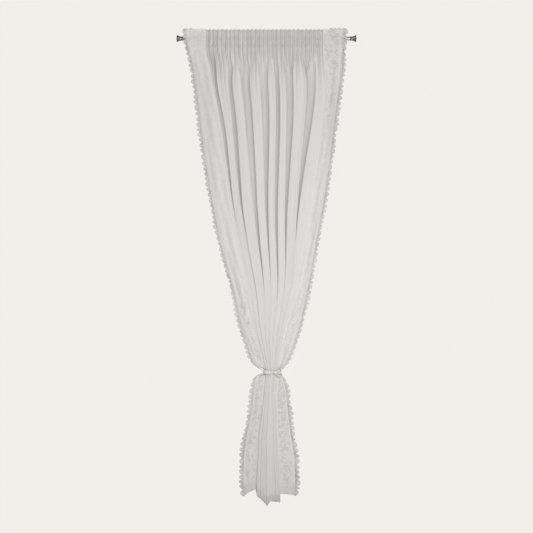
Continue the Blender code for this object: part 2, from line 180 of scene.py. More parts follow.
# Cloths. clear is the share of light that goes straight through, open_share what the gaps between threads
# add, glow the share that shines through from behind, and thread the distance between threads. worked is the
# colour of lace motifs. The hem's tone is painted shade: darker over the doubled hem and darkest at its
# bottom edge, whose places the mesh carries as numbers.
CLOTH_NAMES = "colour shade clear open_share glow thread worked doubled roughness"
Cloth = namedtuple("Cloth", CLOTH_NAMES, defaults=(None, None, 0.85))
CLOTHS = {
    "voile_weave": Cloth(
        (0.703, 0.70, 0.688), (0.643, 0.64, 0.629), 0.02, 0.15, 0.24, 0.0011,
        doubled=(0.53, 0.53, 0.525),
    ),
    "lace_net": Cloth(
        (0.713, 0.71, 0.698), (0.663, 0.66, 0.649), 0.02, 0.05, 0.22, 0.0016,
        worked=(0.53, 0.53, 0.525), doubled=(0.63, 0.63, 0.62),
    ),
    "lace_trim": Cloth(
        (0.64, 0.64, 0.635), (0.55, 0.55, 0.545), 0.03, 0.14, 0.16, 0.0014,
        worked=(0.47, 0.47, 0.465),
    ),
    "tape_weave": Cloth((0.90, 0.90, 0.895), (0.86, 0.86, 0.855), 0.38, 0.25, 0.50, 0.0016),
    "ribbon_satin": Cloth((0.63, 0.625, 0.59), (0.585, 0.58, 0.54), 0.0, 0.05, 0.10, 0.0008, roughness=0.65),
    "sewing_thread": Cloth((0.66, 0.66, 0.655), (0.60, 0.60, 0.595), 0.0, 0.0, 0.1, 0.0005),
}

# Level sections of the cloth, from the heading down. turn says how far the edgings are turned in by the tie.
SECTION_NAMES = (
    "z left_edge left_seam right_seam right_edge fold_depth pleat_depth"
    " centre_y left_edge_y right_edge_y turn"
).split()
SECTIONS = [
    (0.047, -0.429, -0.317, 0.299, 0.416, 0.000, 0.0068, -0.020, -0.020, -0.020, 0.0),
    (-0.008, -0.421, -0.317, 0.299, 0.408, 0.000, 0.0100, -0.020, -0.020, -0.020, 0.0),
    (-0.053, -0.411, -0.317, 0.299, 0.406, 0.000, 0.0112, -0.020, -0.018, -0.018, 0.0),
    (-0.150, -0.387, -0.296, 0.304, 0.401, 0.023, 0.0076, -0.018, -0.006, -0.012, 0.0),
    (-0.271, -0.371, -0.280, 0.312, 0.387, 0.030, 0.0030, -0.016, 0.004, -0.001, 0.0),
    (-0.450, -0.348, -0.248, 0.296, 0.362, 0.030, 0.0008, -0.014, 0.008, 0.006, 0.0),
    (-0.650, -0.321, -0.220, 0.269, 0.337, 0.027, 0.0, -0.013, 0.008, 0.006, 0.0),
    (-0.850, -0.287, -0.193, 0.241, 0.307, 0.026, 0.0, -0.012, 0.008, 0.008, 0.0),
    (-1.080, -0.241, -0.151, 0.204, 0.265, 0.024, 0.0, -0.012, 0.008, 0.012, 0.0),
    (-1.310, -0.179, -0.102, 0.162, 0.224, 0.022, 0.0, -0.011, 0.010, 0.014, 0.0),
    (-1.533, -0.130, -0.059, 0.097, 0.173, 0.021, 0.0, -0.010, 0.008, 0.013, 0.0),
    (-1.660, -0.086, -0.025, 0.073, 0.129, 0.021, 0.0, -0.009, 0.006, 0.008, 0.1),
    (-1.712, -0.068, -0.012, 0.067, 0.103, 0.023, 0.0, -0.008, 0.002, 0.002, 0.2),
    (-1.729, -0.044, -0.007, 0.066, 0.087, 0.0235, 0.0, -0.008, -0.001, -0.001, 0.5),
    (-1.738, -0.011, -0.004, 0.065, 0.075, 0.0235, 0.0, -0.008, -0.003, -0.003, 1.0),
    (-1.764, -0.011, -0.004, 0.063, 0.075, 0.0235, 0.0, -0.008, -0.003, -0.003, 1.0),
    (-1.771, -0.046, -0.005, 0.060, 0.081, 0.0235, 0.0, -0.008, -0.002, -0.001, 0.6),
    (-1.790, -0.061, -0.007, 0.054, 0.092, 0.024, 0.0, -0.009, 0.000, 0.002, 0.2),
    (-1.846, -0.071, -0.012, 0.049, 0.109, 0.027, 0.0, -0.010, -0.002, 0.004, 0.0),
    (-1.954, -0.084, -0.025, 0.055, 0.122, 0.030, 0.0, -0.012, 0.002, 0.006, 0.0),
    (-2.091, -0.111, -0.042, 0.058, 0.139, 0.032, 0.0, -0.012, 0.004, 0.008, 0.0),
    (-2.217, -0.126, -0.048, 0.064, 0.159, 0.033, 0.0, -0.012, 0.004, 0.008, 0.0),
    (-2.322, -0.129, -0.0545, 0.0725, 0.162, 0.034, 0.0, -0.012, 0.002, 0.008, 0.0),
    (-2.410, -0.118, -0.0555, 0.0735, 0.157, 0.034, 0.0, -0.012, 0.000, 0.006, 0.0),
]

# The voile's ridges (FRONT) and valleys (BACK). pleat, high, mid, low and foot are a line's place: the pencil
# pleat it starts from, then its share of the way from seam to seam further and further down. depth and
# foot_depth are its share of the fold depth above and below the tie. wall and run say how the cloth goes over
# from the line before: where the wall between the two stands, and how much of the way it takes. A valley's
# lips meet at the height closes, and over says which one lies on the other: LEFT or RIGHT.
Folds = namedtuple("Folds", "pleat side high mid low foot depth foot_depth wall run closes over")
FOLD_LINES = [
    (0.0, FRONT, 0.000, 0.000, 0.000, 0.00, 0.50, 0.08, 0.50, 1.00, 0.00, 0),
    (1.5, BACK, 0.034, 0.034, 0.055, 0.05, 0.62, 0.45, 0.82, 0.22, -1.02, LEFT),
    (3.0, FRONT, 0.090, 0.085, 0.133, 0.13, 0.34, 0.50, 0.14, 0.30, 0.00, 0),
    (5.5, BACK, 0.155, 0.145, 0.203, 0.21, 0.62, 0.45, 0.80, 0.34, -1.12, RIGHT),
    (7.0, FRONT, 0.223, 0.223, 0.285, 0.27, 0.62, 0.56, 0.42, 0.60, 0.00, 0),
    (9.5, BACK, 0.316, 0.309, 0.348, 0.34, 0.60, 0.45, 0.36, 0.50, -1.38, LEFT),
    (12.0, FRONT, 0.392, 0.383, 0.433, 0.40, 0.66, 0.62, 0.26, 0.36, 0.00, 0),
    (13.5, BACK, 0.458, 0.454, 0.494, 0.46, 0.62, -0.15, 0.44, 0.50, -1.34, RIGHT),
    (15.0, FRONT, 0.525, 0.509, 0.551, 0.54, 0.62, 0.68, 0.54, 0.50, 0.00, 0),
    (16.5, BACK, 0.574, 0.565, 0.627, 0.68, 0.56, -0.38, 0.60, 0.45, -1.42, LEFT),
    (18.0, FRONT, 0.622, 0.629, 0.715, 0.76, 0.64, 0.66, 0.42, 0.50, 0.00, 0),
    (19.5, BACK, 0.684, 0.691, 0.785, 0.81, 0.60, 0.45, 0.46, 0.45, -1.31, RIGHT),
    (22.0, FRONT, 0.752, 0.770, 0.860, 0.87, 0.68, 0.60, 0.50, 0.45, 0.00, 0),
    (25.5, BACK, 0.880, 0.843, 0.920, 0.92, 0.66, 0.45, 0.58, 0.60, -1.13, RIGHT),
    (27.0, FRONT, 0.951, 0.933, 0.965, 0.97, 0.62, 0.50, 0.46, 0.30, 0.00, 0),
    (28.0, FRONT, 1.000, 1.000, 1.000, 1.00, 0.52, 0.26, 0.50, 1.00, 0.00, 0),
]
FOLDS = Folds(*np.array(FOLD_LINES).T)
LIPS_MEET = 0.715
LIP_OVER = 0.14
LIP_UNDER = -0.03
LIP_LIFT = 0.0010
CLOSING_LENGTH = 0.90
CURL_WIDTH = 0.55
CURL_SIZE = 2.1
LIP_AT = 0.28

# Height of the bottom edge, by share of the way across each cloth from left to right
HEM_VOILE = [
    (0.0, -2.372),
    (0.06, -2.405),
    (0.18, -2.412),
    (0.27, -2.427),
    (0.47, -2.451),
    (0.63, -2.428),
    (1.0, -2.436),
]
HEM_BANDS = {
    LEFT: [(0.0, EDGING_BOTTOM), (0.45, -2.385), (1.0, -2.367)],
    RIGHT: [(0.0, -2.391), (0.5, -2.396), (1.0, EDGING_BOTTOM)],
}

# The heading tape in side view, from its top edge over the back of the rod to its bottom edge: its height,
# its place forward or back, and the depth of its pleats
TAPE_ROWS = [
    (0.032, -0.0182, 0.0075),
    (0.023, -0.0100, 0.0050),
    (0.0155, 0.0050, 0.0025),
    (0.005, 0.0150, 0.0015),
    (-0.006, 0.0150, 0.0015),
    (-0.016, 0.0050, 0.0025),
    (-0.034, -0.0182, 0.0075),
    (-0.053, -0.0182, 0.0075),
]
TAPE_LEFT = -0.405
TAPE_RIGHT = 0.400
TAPE_PLAIN_COLUMNS = 14
TAPE_COLUMNS_PER_PLEAT = 12
TAPE_FLAT_WIDTH = 1.32

# The two ends of the tie: the points that each runs through, beside the knot
END_UPPER = [
    (0.044, -0.0400, -1.7520),
    (0.056, -0.0425, -1.7465),
    (0.068, -0.0395, -1.7420),
    (0.077, -0.0330, -1.7375),
]
END_LOWER = [
    (0.044, -0.0400, -1.7560),
    (0.054, -0.0430, -1.7625),
    (0.065, -0.0405, -1.7700),
    (0.073, -0.0345, -1.7770),
]
END_HALF_WIDTH = 0.0046
RING_NARROWED = 0.82


# Curves and noise


def smooth_through(places, values, at):
    """Values on a smooth curve through (place, value) pairs, without overshooting any of them."""
    order = np.argsort(places)
    places = np.asarray(places, float)[order]
    values = np.asarray(values, float)[order]
    steps = np.diff(places)
    slopes = np.diff(values) / steps
    product = slopes[:-1] * slopes[1:]
    total = np.where(product > 0, slopes[:-1] + slopes[1:], 1.0)
    tangents = np.zeros_like(values)
    tangents[1:-1] = np.where(product > 0, 2 * product / total, 0.0)
    tangents[0], tangents[-1] = slopes[0], slopes[-1]
    at = np.clip(at, places[0], places[-1])
    i = np.clip(np.searchsorted(places, at) - 1, 0, len(steps) - 1)
    t = (at - places[i]) / steps[i]
    rest = 1 - t
    return (
        values[i] * (1 + 2 * t) * rest**2
        + values[i + 1] * t**2 * (3 - 2 * t)
        + (tangents[i] * t * rest**2 - tangents[i + 1] * t**2 * rest) * steps[i]
    )


def smooth_step(t):
    t = np.clip(t, 0, 1)
    return t * t * (3 - 2 * t)


def above(heights, level, over):
    """0 up to this level and 1 from so much above it on, with a smooth way between."""
    return smooth_step((heights - level) / over)


def below(heights, level, over):
    """0 down to this level and 1 from so much below it on, with a smooth way between."""
    return smooth_step((level - heights) / over)


def hump(at, centre, spread):
    """1 at the centre, falling to 0 on both sides."""
    return np.exp(-(((at - centre) / spread) ** 2))


def wander(at, slowest):
    """A smooth uneven line between about -1 and 1, the same at each run."""
    total = np.zeros(np.shape(at))
    for i in range(5):
        total = total + np.sin(2 * np.pi * at * slowest * 1.61**i + chance.uniform(0, 6.28)) / (1 + i) ** 0.5
    return total / 2.4


# Shape of the cloth


def sections_at(heights):
    """Every column of SECTIONS at these heights, each as a column of its own."""
    table = np.array(SECTIONS)[::-1]
    near_tie = hump(heights, TIE_MIDDLE, 0.06)
    made = {}
    for i, name in enumerate(SECTION_NAMES):
        straight = np.interp(heights, table[:, 0], table[:, i])
        smooth = smooth_through(table[:, 0], table[:, i], heights)
        made[name] = (smooth * (1 - near_tie) + straight * near_tie)[:, None]
    return made


def fold_shares(heights):
    """Where each fold line lies from seam to seam, for each height."""
    places = (FOOT_AT, EVEN_FROM, *reversed(FOLD_HEIGHTS), HEADING_END)
    even = np.arange(len(FOLD_LINES)) / (len(FOLD_LINES) - 1)
    rows = zip(FOLDS.foot, even, FOLDS.low, FOLDS.mid, FOLDS.high, FOLDS.pleat / PLEATS)
    return np.stack([smooth_through(places, row, heights) for row in rows], axis=1)


PLEAT_LEAN = chance.uniform(-1, 1, (4, 2 * PLEATS + 1))
PLEAT_DEPTH_VARIES = chance.uniform(0.78, 1.12, 2 * PLEATS + 1)
CREASE_PHASES = chance.uniform(0, 2 * np.pi, 24)


def creases(across, down):
    """Small folds that run down the cloth, unevenly, between about -1 and 1."""
    total = 0
    for i, count in enumerate((0.93, 1.31, 1.87, 2.43, 3.60)):
        sway = 0.35 * np.sin(2.3 * down + CREASE_PHASES[3 * i])
        strength = 0.55 + 0.45 * np.sin(0.9 * across + 3.1 * down + CREASE_PHASES[3 * i + 1])
        total = total + strength * np.sin(2 * np.pi * count * across + sway * 3 + CREASE_PHASES[3 * i + 2])
    return total / 2.2


def pencil_pleats(pleats):
    """The pencil pleats across the heading: -1 in the valleys, 1 on the ridges."""
    return 1 - 2 * np.abs(np.sin(np.pi * pleats)) ** PENCIL_SHARPNESS


def pleat_numbers(per_pleat):
    """Places from seam to seam, counted in pleats, with this many to each."""
    return np.linspace(0, PLEATS, PLEATS * per_pleat + 1)


def voile_grid(pleats, heights):
    """Points of the voile at each height and pleat number, rows x columns x 3."""
    here = sections_at(heights)
    down = heights[:, None]
    second = np.clip(np.searchsorted(FOLDS.pleat, pleats), 1, len(FOLD_LINES) - 1)
    first = second - 1
    part = (pleats - FOLDS.pleat[first]) / (FOLDS.pleat[second] - FOLDS.pleat[first])
    from_front = FOLDS.side[first] == FRONT
    turned = FOLDS.side[first] != FOLDS.side[second]
    on_top = np.where(from_front, FOLDS.over[second] == LEFT, FOLDS.over[first] == RIGHT)

    closes = np.minimum(FOLDS.closes[first], FOLDS.closes[second])
    gathered = np.clip((closes + CLOSING_LENGTH - down) / CLOSING_LENGTH, 0, 1) ** 1.25
    wall = FOLDS.wall[second] * (1 - gathered) + 0.5 * gathered
    run = FOLDS.run[second] * (1 - gathered) + 0.5 * gathered
    rise = smooth_step((part - wall) / run + 0.5)
    curl = turned * (1 - gathered) * below(down, -0.09, 0.15)
    off_wall = (part - wall) / (CURL_WIDTH * run)
    curl = -curl * CURL_SIZE * CURL_WIDTH * run * off_wall * np.exp(-(off_wall**2))
    overhang = (LIPS_MEET + np.where(on_top, LIP_OVER, LIP_UNDER)) * gathered * turned
    along = part + overhang * np.sin(2 * np.pi * part) + curl
    shares = fold_shares(heights)
    share = shares[:, first] * (1 - along) + shares[:, second] * along

    foot = below(down, -1.15, 0.55)
    depths = FOLDS.side * FOLDS.depth * (1 - foot) + FOLDS.side * FOLDS.foot_depth * foot
    fold = depths[:, first] * (1 - rise) + depths[:, second] * rise
    lip_at = np.where(from_front, LIP_AT, 1 - LIP_AT)
    lip = hump(part, lip_at, 0.2) * gathered * turned * np.where(on_top, -LIP_LIFT, LIP_LIFT)

    half_pleats = np.arange(2 * PLEATS + 1) / 2
    varied = np.interp(pleats, half_pleats, PLEAT_DEPTH_VARIES)
    pencil = pencil_pleats(pleats)
    pinch = 1 - 0.30 * sum(hump(down, line, 0.004) for line in SEWN_LINES)
    frill = 1 + 0.25 * above(down, 0.020, 0.03)
    pleat = here["pleat_depth"] * varied * pencil * pinch * frill

    lean_heights = (HEADING_TOP, *SEWN_LINES, -0.12)
    leans = [np.interp(pleats, half_pleats, row) for row in PLEAT_LEAN]
    lean = sum(hump(down, height, 0.035) * row for height, row in zip(lean_heights, leans)) * PLEAT_LEAN_SIZE
    ends = np.minimum(1, np.minimum(pleats, PLEATS - pleats))
    crease = creases(pleats, down) * smooth_through(CREASE_HEIGHTS, CREASE_SIZES, down)
    crease = crease * np.minimum(1, ends * 2)

    x = here["left_seam"] + (here["right_seam"] - here["left_seam"]) * share + lean * ends
    y = here["centre_y"] + here["fold_depth"] * fold - pleat + crease + lip
    limit = tie_room(x)
    tied = hump(down, TIE_MIDDLE, 0.03)
    y = y * (1 - tied) + np.clip(y, TIE_CENTRE_Y - limit, TIE_CENTRE_Y + limit) * tied
    ruffle = above(down, 0.025, 0.022) * (0.0016 * pencil + 0.0012 * (varied - 1) - 0.0018)
    return np.stack([x, y, down + 0 * x + ruffle], axis=2)


def tie_room(x):
    """How far the cloth may stand forward or back inside the tie, at a place across it."""
    part = np.clip(np.abs(x - TIE_CENTRE_X) / TIE_INNER_HALF_WIDTH, 0, 0.985)
    return (TIE_INNER_HALF_DEPTH - 0.0015) * (1 - part**TIE_SQUARENESS) ** (1 / TIE_SQUARENESS)


def band_grid(side, part, heights):
    """Points of a lace band from its seam (part 0) to its outer edge (part 1), rows x columns x 3."""
    here = sections_at(heights)
    seam = voile_grid(np.array([0.0 if side == LEFT else float(PLEATS)]), heights)
    seam_x, seam_y, seam_z = seam[:, :, 0], seam[:, :, 1], seam[:, :, 2]
    edge = SIDE_NAMES[side] + "_edge"
    down = heights[:, None]
    looseness = np.minimum(1, here["fold_depth"] / BULGE_FULL_AT) * (1 - here["turn"])
    bulge = BAND_BULGE * np.sin(np.pi * part) * looseness
    shift = 0.0 if side == LEFT else 1.7
    wave = np.sin(2 * np.pi * (1.15 * part + 1.30 * down + shift))
    wave = wave + 0.6 * np.sin(2 * np.pi * (2.10 * part - 2.10 * down + 2 * shift))
    wave_size = 0.0022 - 0.0012 * below(down, -1.75, 0.1)
    wave = wave * wave_size * looseness * np.sin(np.pi * np.clip(part * 1.2, 0, 1)) ** 0.5
    waist = hump(down, TIE_MIDDLE, 0.030)
    near_waist = hump(down, -1.700, 0.090) + 0.3 * hump(down, -1.830, 0.060)
    crumple = 0.0070 * waist * np.sin(2 * np.pi * 1.5 * part + 0.6)
    crumple = crumple + 0.0014 * near_waist * (1 - waist) * np.sin(2 * np.pi * 3.1 * part + 9 * down + shift)
    x = seam_x + (here[edge] - seam_x) * part
    y = seam_y + (here[edge + "_y"] - seam_y) * part - bulge + wave + crumple * np.sin(np.pi * part)
    return np.stack([x, y, seam_z * (1 - part) + down * part], axis=2)


def cloth_heights():
    """Heights of the voile's rows, close together at the heading, the tie and the hem."""
    stretches = [
        (HEADING_TOP, -0.062, 31),
        (-0.062, -0.300, 22),
        (-0.300, -1.600, 76),
        (-1.600, -1.725, 14),
        (-1.725, -1.785, 14),
        (-1.785, -1.900, 12),
        (-1.900, HEM_FROM, 24),
        (HEM_FROM, ROWS_END, 12),
    ]
    rows = np.concatenate([np.linspace(*stretch, endpoint=False) for stretch in stretches])
    return np.concatenate([rows[:1], [HEADING_TOP - TURN_ROUND], rows[1:], [ROWS_END + TURN_ROUND, ROWS_END]])


def reach_hem(points, hem, heights, raggedness=0.0):
    """Stretches the lowest rows so that the last one lies on the bottom edge."""
    places, values = zip(*hem)
    across, depth = points[-1, :, 0], points[-1, :, 1]
    across = (across - across.min()) / (across.max() - across.min())
    bottom = np.interp(across, places, values) + raggedness * wander(across, 3.5)
    bottom = bottom + HEM_RISES_BEHIND * (depth - depth.min())
    share = np.clip((HEM_FROM - heights) / (HEM_FROM - ROWS_END), 0, 1)[:, None]
    points[:, :, 2] = np.where(share > 0, HEM_FROM + share * (bottom - HEM_FROM), points[:, :, 2])
    return points


def unit(vectors):
    """The same directions with length 1."""
    return vectors / np.maximum(np.linalg.norm(vectors, axis=-1, keepdims=True), 1e-12)


def normals_of(points):
    """Directions straight out of the front of a grid of points."""
    down = np.gradient(points, axis=0)
    across = np.gradient(points, axis=1)
    return unit(np.cross(across, down))


def with_turnings(points, top, bottom):
    """Adds the cloth that is turned over to the back at the top and bottom edges, each this tall."""
    back = points - normals_of(points) * LAYER_GAP
    start = int(np.argmax(points[:, :, 2].mean(axis=1) < points[0, :, 2].mean() - top)) if top else 0
    level = points[-1, :, 2].mean() + bottom
    end = int(np.argmax(points[:, :, 2].mean(axis=1) < level))
    pieces = [points, back[end:-1][::-1]]
    if start:
        pieces.insert(0, back[1:start][::-1])
    return np.concatenate(pieces)


# Meshes


def distances(line):
    """How far along a line of points each of them lies."""
    return np.concatenate([[0], np.cumsum(np.linalg.norm(np.diff(line, axis=0), axis=1))])


def grid_faces(rows, columns, base=0):
    """The faces between the points of a grid, whose first point has the number base."""
    corner = base + (np.arange(rows - 1)[:, None] * columns + np.arange(columns - 1)).ravel()
    return np.stack([corner, corner + columns, corner + columns + 1, corner + 1], axis=1).tolist()


def grid_places(flat_width, columns, middle):
    """The flat places of a grid's points: across its width and along its middle line."""
    across = np.linspace(0, flat_width, columns)
    return np.stack(np.meshgrid(across, distances(middle)), axis=2).reshape(-1, 2)


def grid_object(name, points, flat_width, finish, numbers=None):
    """A smooth sheet through a grid of points, with its flat measures in metres as its map."""
    rows, columns = points.shape[:2]
    places = grid_places(flat_width, columns, points.mean(axis=1))
    return mesh_object(name, points.reshape(-1, 3), grid_faces(rows, columns), places, finish, numbers)


def mesh_object(name, points, faces, places, finish, numbers=None):
    """A smooth object from points and faces, with each point's flat place and numbers for its material."""
    mesh = bpy.data.meshes.new(name)
    mesh.from_pydata(np.asarray(points).tolist(), [], faces)
    mesh.update()
    corners = np.zeros(len(mesh.loops), np.int32)
    mesh.loops.foreach_get("vertex_index", corners)
    layer = mesh.uv_layers.new(name="cloth")
    layer.uv.foreach_set("vector", np.asarray(places)[corners].astype(np.float32).ravel())
    for key, values in (numbers or {}).items():
        carried = mesh.attributes.new(key, "FLOAT", "POINT")
        carried.data.foreach_set("value", values.astype(np.float32).ravel())
    return finished(name, mesh, finish)


def new_object(name, data):
    made = bpy.data.objects.new(name, data)
    bpy.context.scene.collection.objects.link(made)
    return made


def finished(name, mesh, finish):
    """An object for a mesh, riding on the one body, with its material."""
    mesh.materials.append(finish)
    mesh.shade_smooth()
    made = new_object(name, mesh)
    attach(made, "root")
    return made


def adjust(thing, **settings):
    """The same thing with these settings."""
    for key, value in settings.items():
        setattr(thing, key, value)
    return thing


def thicken(piece, thickness):
    adjust(piece.modifiers.new("Thickness", "SOLIDIFY"), thickness=thickness, offset=0.0)


# Materials


def add_node(tree, kind, inputs=(), **settings):
    """A node with these settings, its inputs given as (name or number, value, socket or node)."""
    node = adjust(tree.nodes.new("ShaderNode" + kind), **settings)
    for key, value in inputs:
        if isinstance(value, bpy.types.Node):
            value = value.outputs[0]
        if isinstance(value, bpy.types.NodeSocket):
            tree.links.new(value, node.inputs[key])
        else:
            node.inputs[key].default_value = value
    return node


def maths(tree, operation, *values):
    """The result of a sum on numbers or sockets."""
    return add_node(tree, "Math", list(enumerate(values)), operation=operation).outputs[0]


def limited(tree, value, low):
    """The value kept between low and 1."""
    return maths(tree, "MAXIMUM", maths(tree, "MINIMUM", value, 1.0), low)


def waves(tree, along, pitch):
    """A wave between -1 and 1 with this distance between its crests."""
    return maths(tree, "SINE", maths(tree, "MULTIPLY", along, 2 * math.pi / pitch))


def mixed_colour(tree, share, first, second):
    """The first colour, or the colour from a socket, over into the second. Inputs 6 and 7 are the two."""
    base = first if isinstance(first, bpy.types.NodeSocket) else (*first, 1)
    return add_node(tree, "Mix", [(0, share), (6, base), (7, (*second, 1))], data_type="RGBA").outputs[2]


def noise(tree, place, scale, detail):
    inputs = [("Vector", place), ("Scale", scale), ("Detail", detail)]
    return add_node(tree, "TexNoise", inputs).outputs[0]


def stretched(tree, place, scale):
    """A place with its three parts multiplied by these numbers."""
    return add_node(tree, "Mapping", [(0, place), (3, scale)]).outputs[0]


def flat_place(tree):
    """The place on the flat cloth in metres, as a socket, and its two parts, across and down."""
    place = add_node(tree, "UVMap", uv_map="cloth").outputs[0]
    parts = add_node(tree, "SeparateXYZ", [(0, place)]).outputs
    return place, parts[0], parts[1]


def carried_number(tree, name):
    """A number that the mesh carries at each point."""
    return add_node(tree, "Attribute", attribute_name=name).outputs["Fac"]


def new_tree(name):
    made = bpy.data.materials.new(name)
    made.use_nodes = True
    made.node_tree.nodes.clear()
    return made, made.node_tree


def lace_nodes(tree, place, down):
    """How densely lace is worked, and what its net and its ladder of rungs let through besides."""
    pattern = carried_number(tree, "motif")
    rungs = maths(tree, "GREATER_THAN", waves(tree, down, RUNG_PITCH), -0.35)
    ladder = maths(tree, "MAXIMUM", maths(tree, "MULTIPLY", pattern, -1.0), 0.0)
    ladder = maths(tree, "MULTIPLY", ladder, rungs)
    petals = add_node(tree, "TexVoronoi", [("Vector", place), ("Scale", 68.0)], feature="SMOOTH_F1")
    petal = limited(tree, maths(tree, "MULTIPLY_ADD", petals.outputs[0], -2.8, 1.60), 0.30)
    petal = maths(tree, "MULTIPLY_ADD", waves(tree, down, RIB_PITCH), 0.16, petal)
    motif = maths(tree, "MULTIPLY", maths(tree, "MAXIMUM", pattern, 0.0), petal)
    net = add_node(tree, "TexVoronoi", [("Vector", place), ("Scale", 420.0)], feature="DISTANCE_TO_EDGE")
    mesh_gap = maths(tree, "GREATER_THAN", net.outputs[0], 0.26)
    bare = maths(tree, "MULTIPLY", mesh_gap, maths(tree, "SUBTRACT", 1.0, motif))
    return motif, bare, ladder


def cloth_material(name):
    """Woven cloth, as its row of CLOTHS says."""
    look = CLOTHS[name]
    made, tree = new_tree(name)
    place, across, down = flat_place(tree)
    warp, weft = waves(tree, across, look.thread), waves(tree, down, look.thread)
    gaps = maths(tree, "MULTIPLY", maths(tree, "MAXIMUM", warp, 0.0), maths(tree, "MAXIMUM", weft, 0.0))
    height = maths(tree, "SUBTRACT", maths(tree, "ADD", warp, weft), gaps)
    slubs = noise(tree, stretched(tree, place, (160.0, 5.0, 1.0)), 1.0, 3.0)
    cloud = noise(tree, place, 7.0, 4.0)
    uneven = maths(tree, "MULTIPLY_ADD", slubs, 0.5, maths(tree, "MULTIPLY", cloud, 0.5))
    tone = mixed_colour(tree, uneven, look.shade, look.colour)
    through = maths(tree, "MULTIPLY_ADD", gaps, look.open_share, look.clear)
    if look.worked:
        motif, bare, ladder = lace_nodes(tree, place, down)
        through = maths(tree, "MULTIPLY_ADD", bare, LACE_OPEN, through)
        through = maths(tree, "MULTIPLY_ADD", ladder, LADDER_OPEN, through)
        tone = mixed_colour(tree, motif, tone, look.worked)
        height = maths(tree, "MULTIPLY_ADD", motif, 2.0, height)
    # Painted shade: a darker tone over the hem, darkest at its bottom edge
    if look.doubled:
        tone = mixed_colour(tree, carried_number(tree, "hem"), tone, look.doubled)
    bump = add_node(tree, "Bump", [("Strength", 0.35), ("Distance", look.thread * 0.25), ("Height", height)])
    facing = ("Normal", bump)
    finish = [
        ("Base Color", tone),
        ("Roughness", look.roughness),
        ("Specular IOR Level", 0.25),
        ("Sheen Weight", 0.15),
        ("Sheen Roughness", 0.5),
        facing,
    ]
    front = add_node(tree, "BsdfPrincipled", finish)
    behind = add_node(tree, "BsdfTranslucent", [("Color", tone), facing])
    body = add_node(tree, "MixShader", [(0, look.glow), (1, front), (2, behind)])
    empty = add_node(tree, "BsdfTransparent")
    whole = add_node(tree, "MixShader", [(0, through), (1, body), (2, empty)])
    add_node(tree, "OutputMaterial", [(0, whole)])
    return made


def edge_ribbon(ribbon):
    """Gives the ribbon its olive lower edge, over into its own colour a third of the way up."""
    tree = ribbon.node_tree
    begins, over = 0.0165, 0.006
    share = limited(tree, maths(tree, "MULTIPLY_ADD", flat_place(tree)[1], 1 / over, -begins / over), 0.0)
    for kind in ("BsdfPrincipled", "BsdfTranslucent"):
        shader = next(node for node in tree.nodes if node.bl_idname == "ShaderNode" + kind)
        plain = shader.inputs[0].links[0].from_socket
        tree.links.new(mixed_colour(tree, share, plain, RIBBON_EDGE), shader.inputs[0])


def finish_material(tree, *inputs):
    """Ends a material with one plain surface that has these inputs."""
    add_node(tree, "OutputMaterial", [(0, add_node(tree, "BsdfPrincipled", inputs))])


def metal_material(name, colour, worn, roughness, grain):
    """Dark nickel, brushed round its axis with lines of this grain, and worn in faint spots."""
    made, tree = new_tree(name)
    place = add_node(tree, "TexCoord").outputs["Object"]
    brushed = noise(tree, stretched(tree, place, (grain, 12.0, 12.0)), 1.0, 4.0)
    tone = mixed_colour(tree, noise(tree, place, 90.0, 2.0), colour, worn)
    rough = maths(tree, "MULTIPLY_ADD", brushed, 0.18, roughness)
    bump = add_node(tree, "Bump", [("Strength", 0.08), ("Distance", 0.0002), ("Height", brushed)])
    finish_material(tree, ("Base Color", tone), ("Metallic", 1.0), ("Roughness", rough), ("Normal", bump))
    return made


def floor_material():
    made, tree = new_tree("pale_floor")
    cloud = noise(tree, add_node(tree, "TexCoord").outputs["Object"], 3.0, 3.0)
    tone = mixed_colour(tree, cloud, (0.74, 0.73, 0.70), (0.80, 0.79, 0.76))
    finish_material(tree, ("Base Color", tone), ("Roughness", 0.8))
    return made


# Pieces


def hem_shade(points, height):
    """How much painted shade the doubled hem gets: 1 at the bottom edge, 0 above the hem's top."""
    risen = points[:, :, 2] - points[:, :, 2].min(axis=0)
    return 0.50 * below(risen, height + 0.002, 0.004) + 0.35 * below(risen, height, height)


def make_voile(finish):
    heights = cloth_heights()
    pleats = pleat_numbers(COLUMNS_PER_PLEAT)
    points = reach_hem(voile_grid(pleats, heights), HEM_VOILE, heights, raggedness=0.004)
    points = with_turnings(points, HEADING_TURNED, HEM_HEIGHT_VOILE)
    numbers = {"hem": hem_shade(points, HEM_HEIGHT_VOILE)}
    voile = grid_object("voile", points, VOILE_FLAT_WIDTH, finish, numbers)
    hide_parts("voile_panel")


def lace_pattern(from_edge, along):
    """How densely the lace is worked, from 0 for open net to 1, by place across and along the band."""
    off = from_edge - LEAF_CENTRE
    beside = np.mod(along, LEAF_PITCH) - LEAF_PITCH / 2
    inside = np.clip(1 - (beside / LEAF_HALF_LENGTH) ** 2, 0, None)
    reach = np.abs(off) / (LEAF_HALF_WIDTH * np.maximum(inside, 0.02))
    within = (inside > 0.02) * 1.0
    rim = within * hump(reach, 1, 0.24)
    core = within * below(reach, 0.95, 0.2)
    to_flower = LEAF_PITCH / 2 - np.abs(beside)
    radius = np.hypot(off, to_flower)
    angle = np.arctan2(off, to_flower)
    flower = (radius < FLOWER_RADIUS * (0.50 + 0.50 * np.abs(np.cos(2 * angle)))) * 0.9
    outer = below(from_edge, DENSE_STRIP, 0.003)
    border = hump(from_edge, BORDER_AT + BORDER_SWAY * np.sin(2 * np.pi * along / BORDER_PITCH), 0.0020)
    ground = LACE_GROUND * below(from_edge, GROUND_END, 0.008)
    ladder = hump(from_edge, LADDER_AT, 0.0022)
    worked = np.clip(0.35 * rim + 0.30 * core + 0.4 * flower + 0.3 * border + ground, 0, 1) + outer
    return np.clip(worked, 0, 1) * (1 - ladder) - ladder


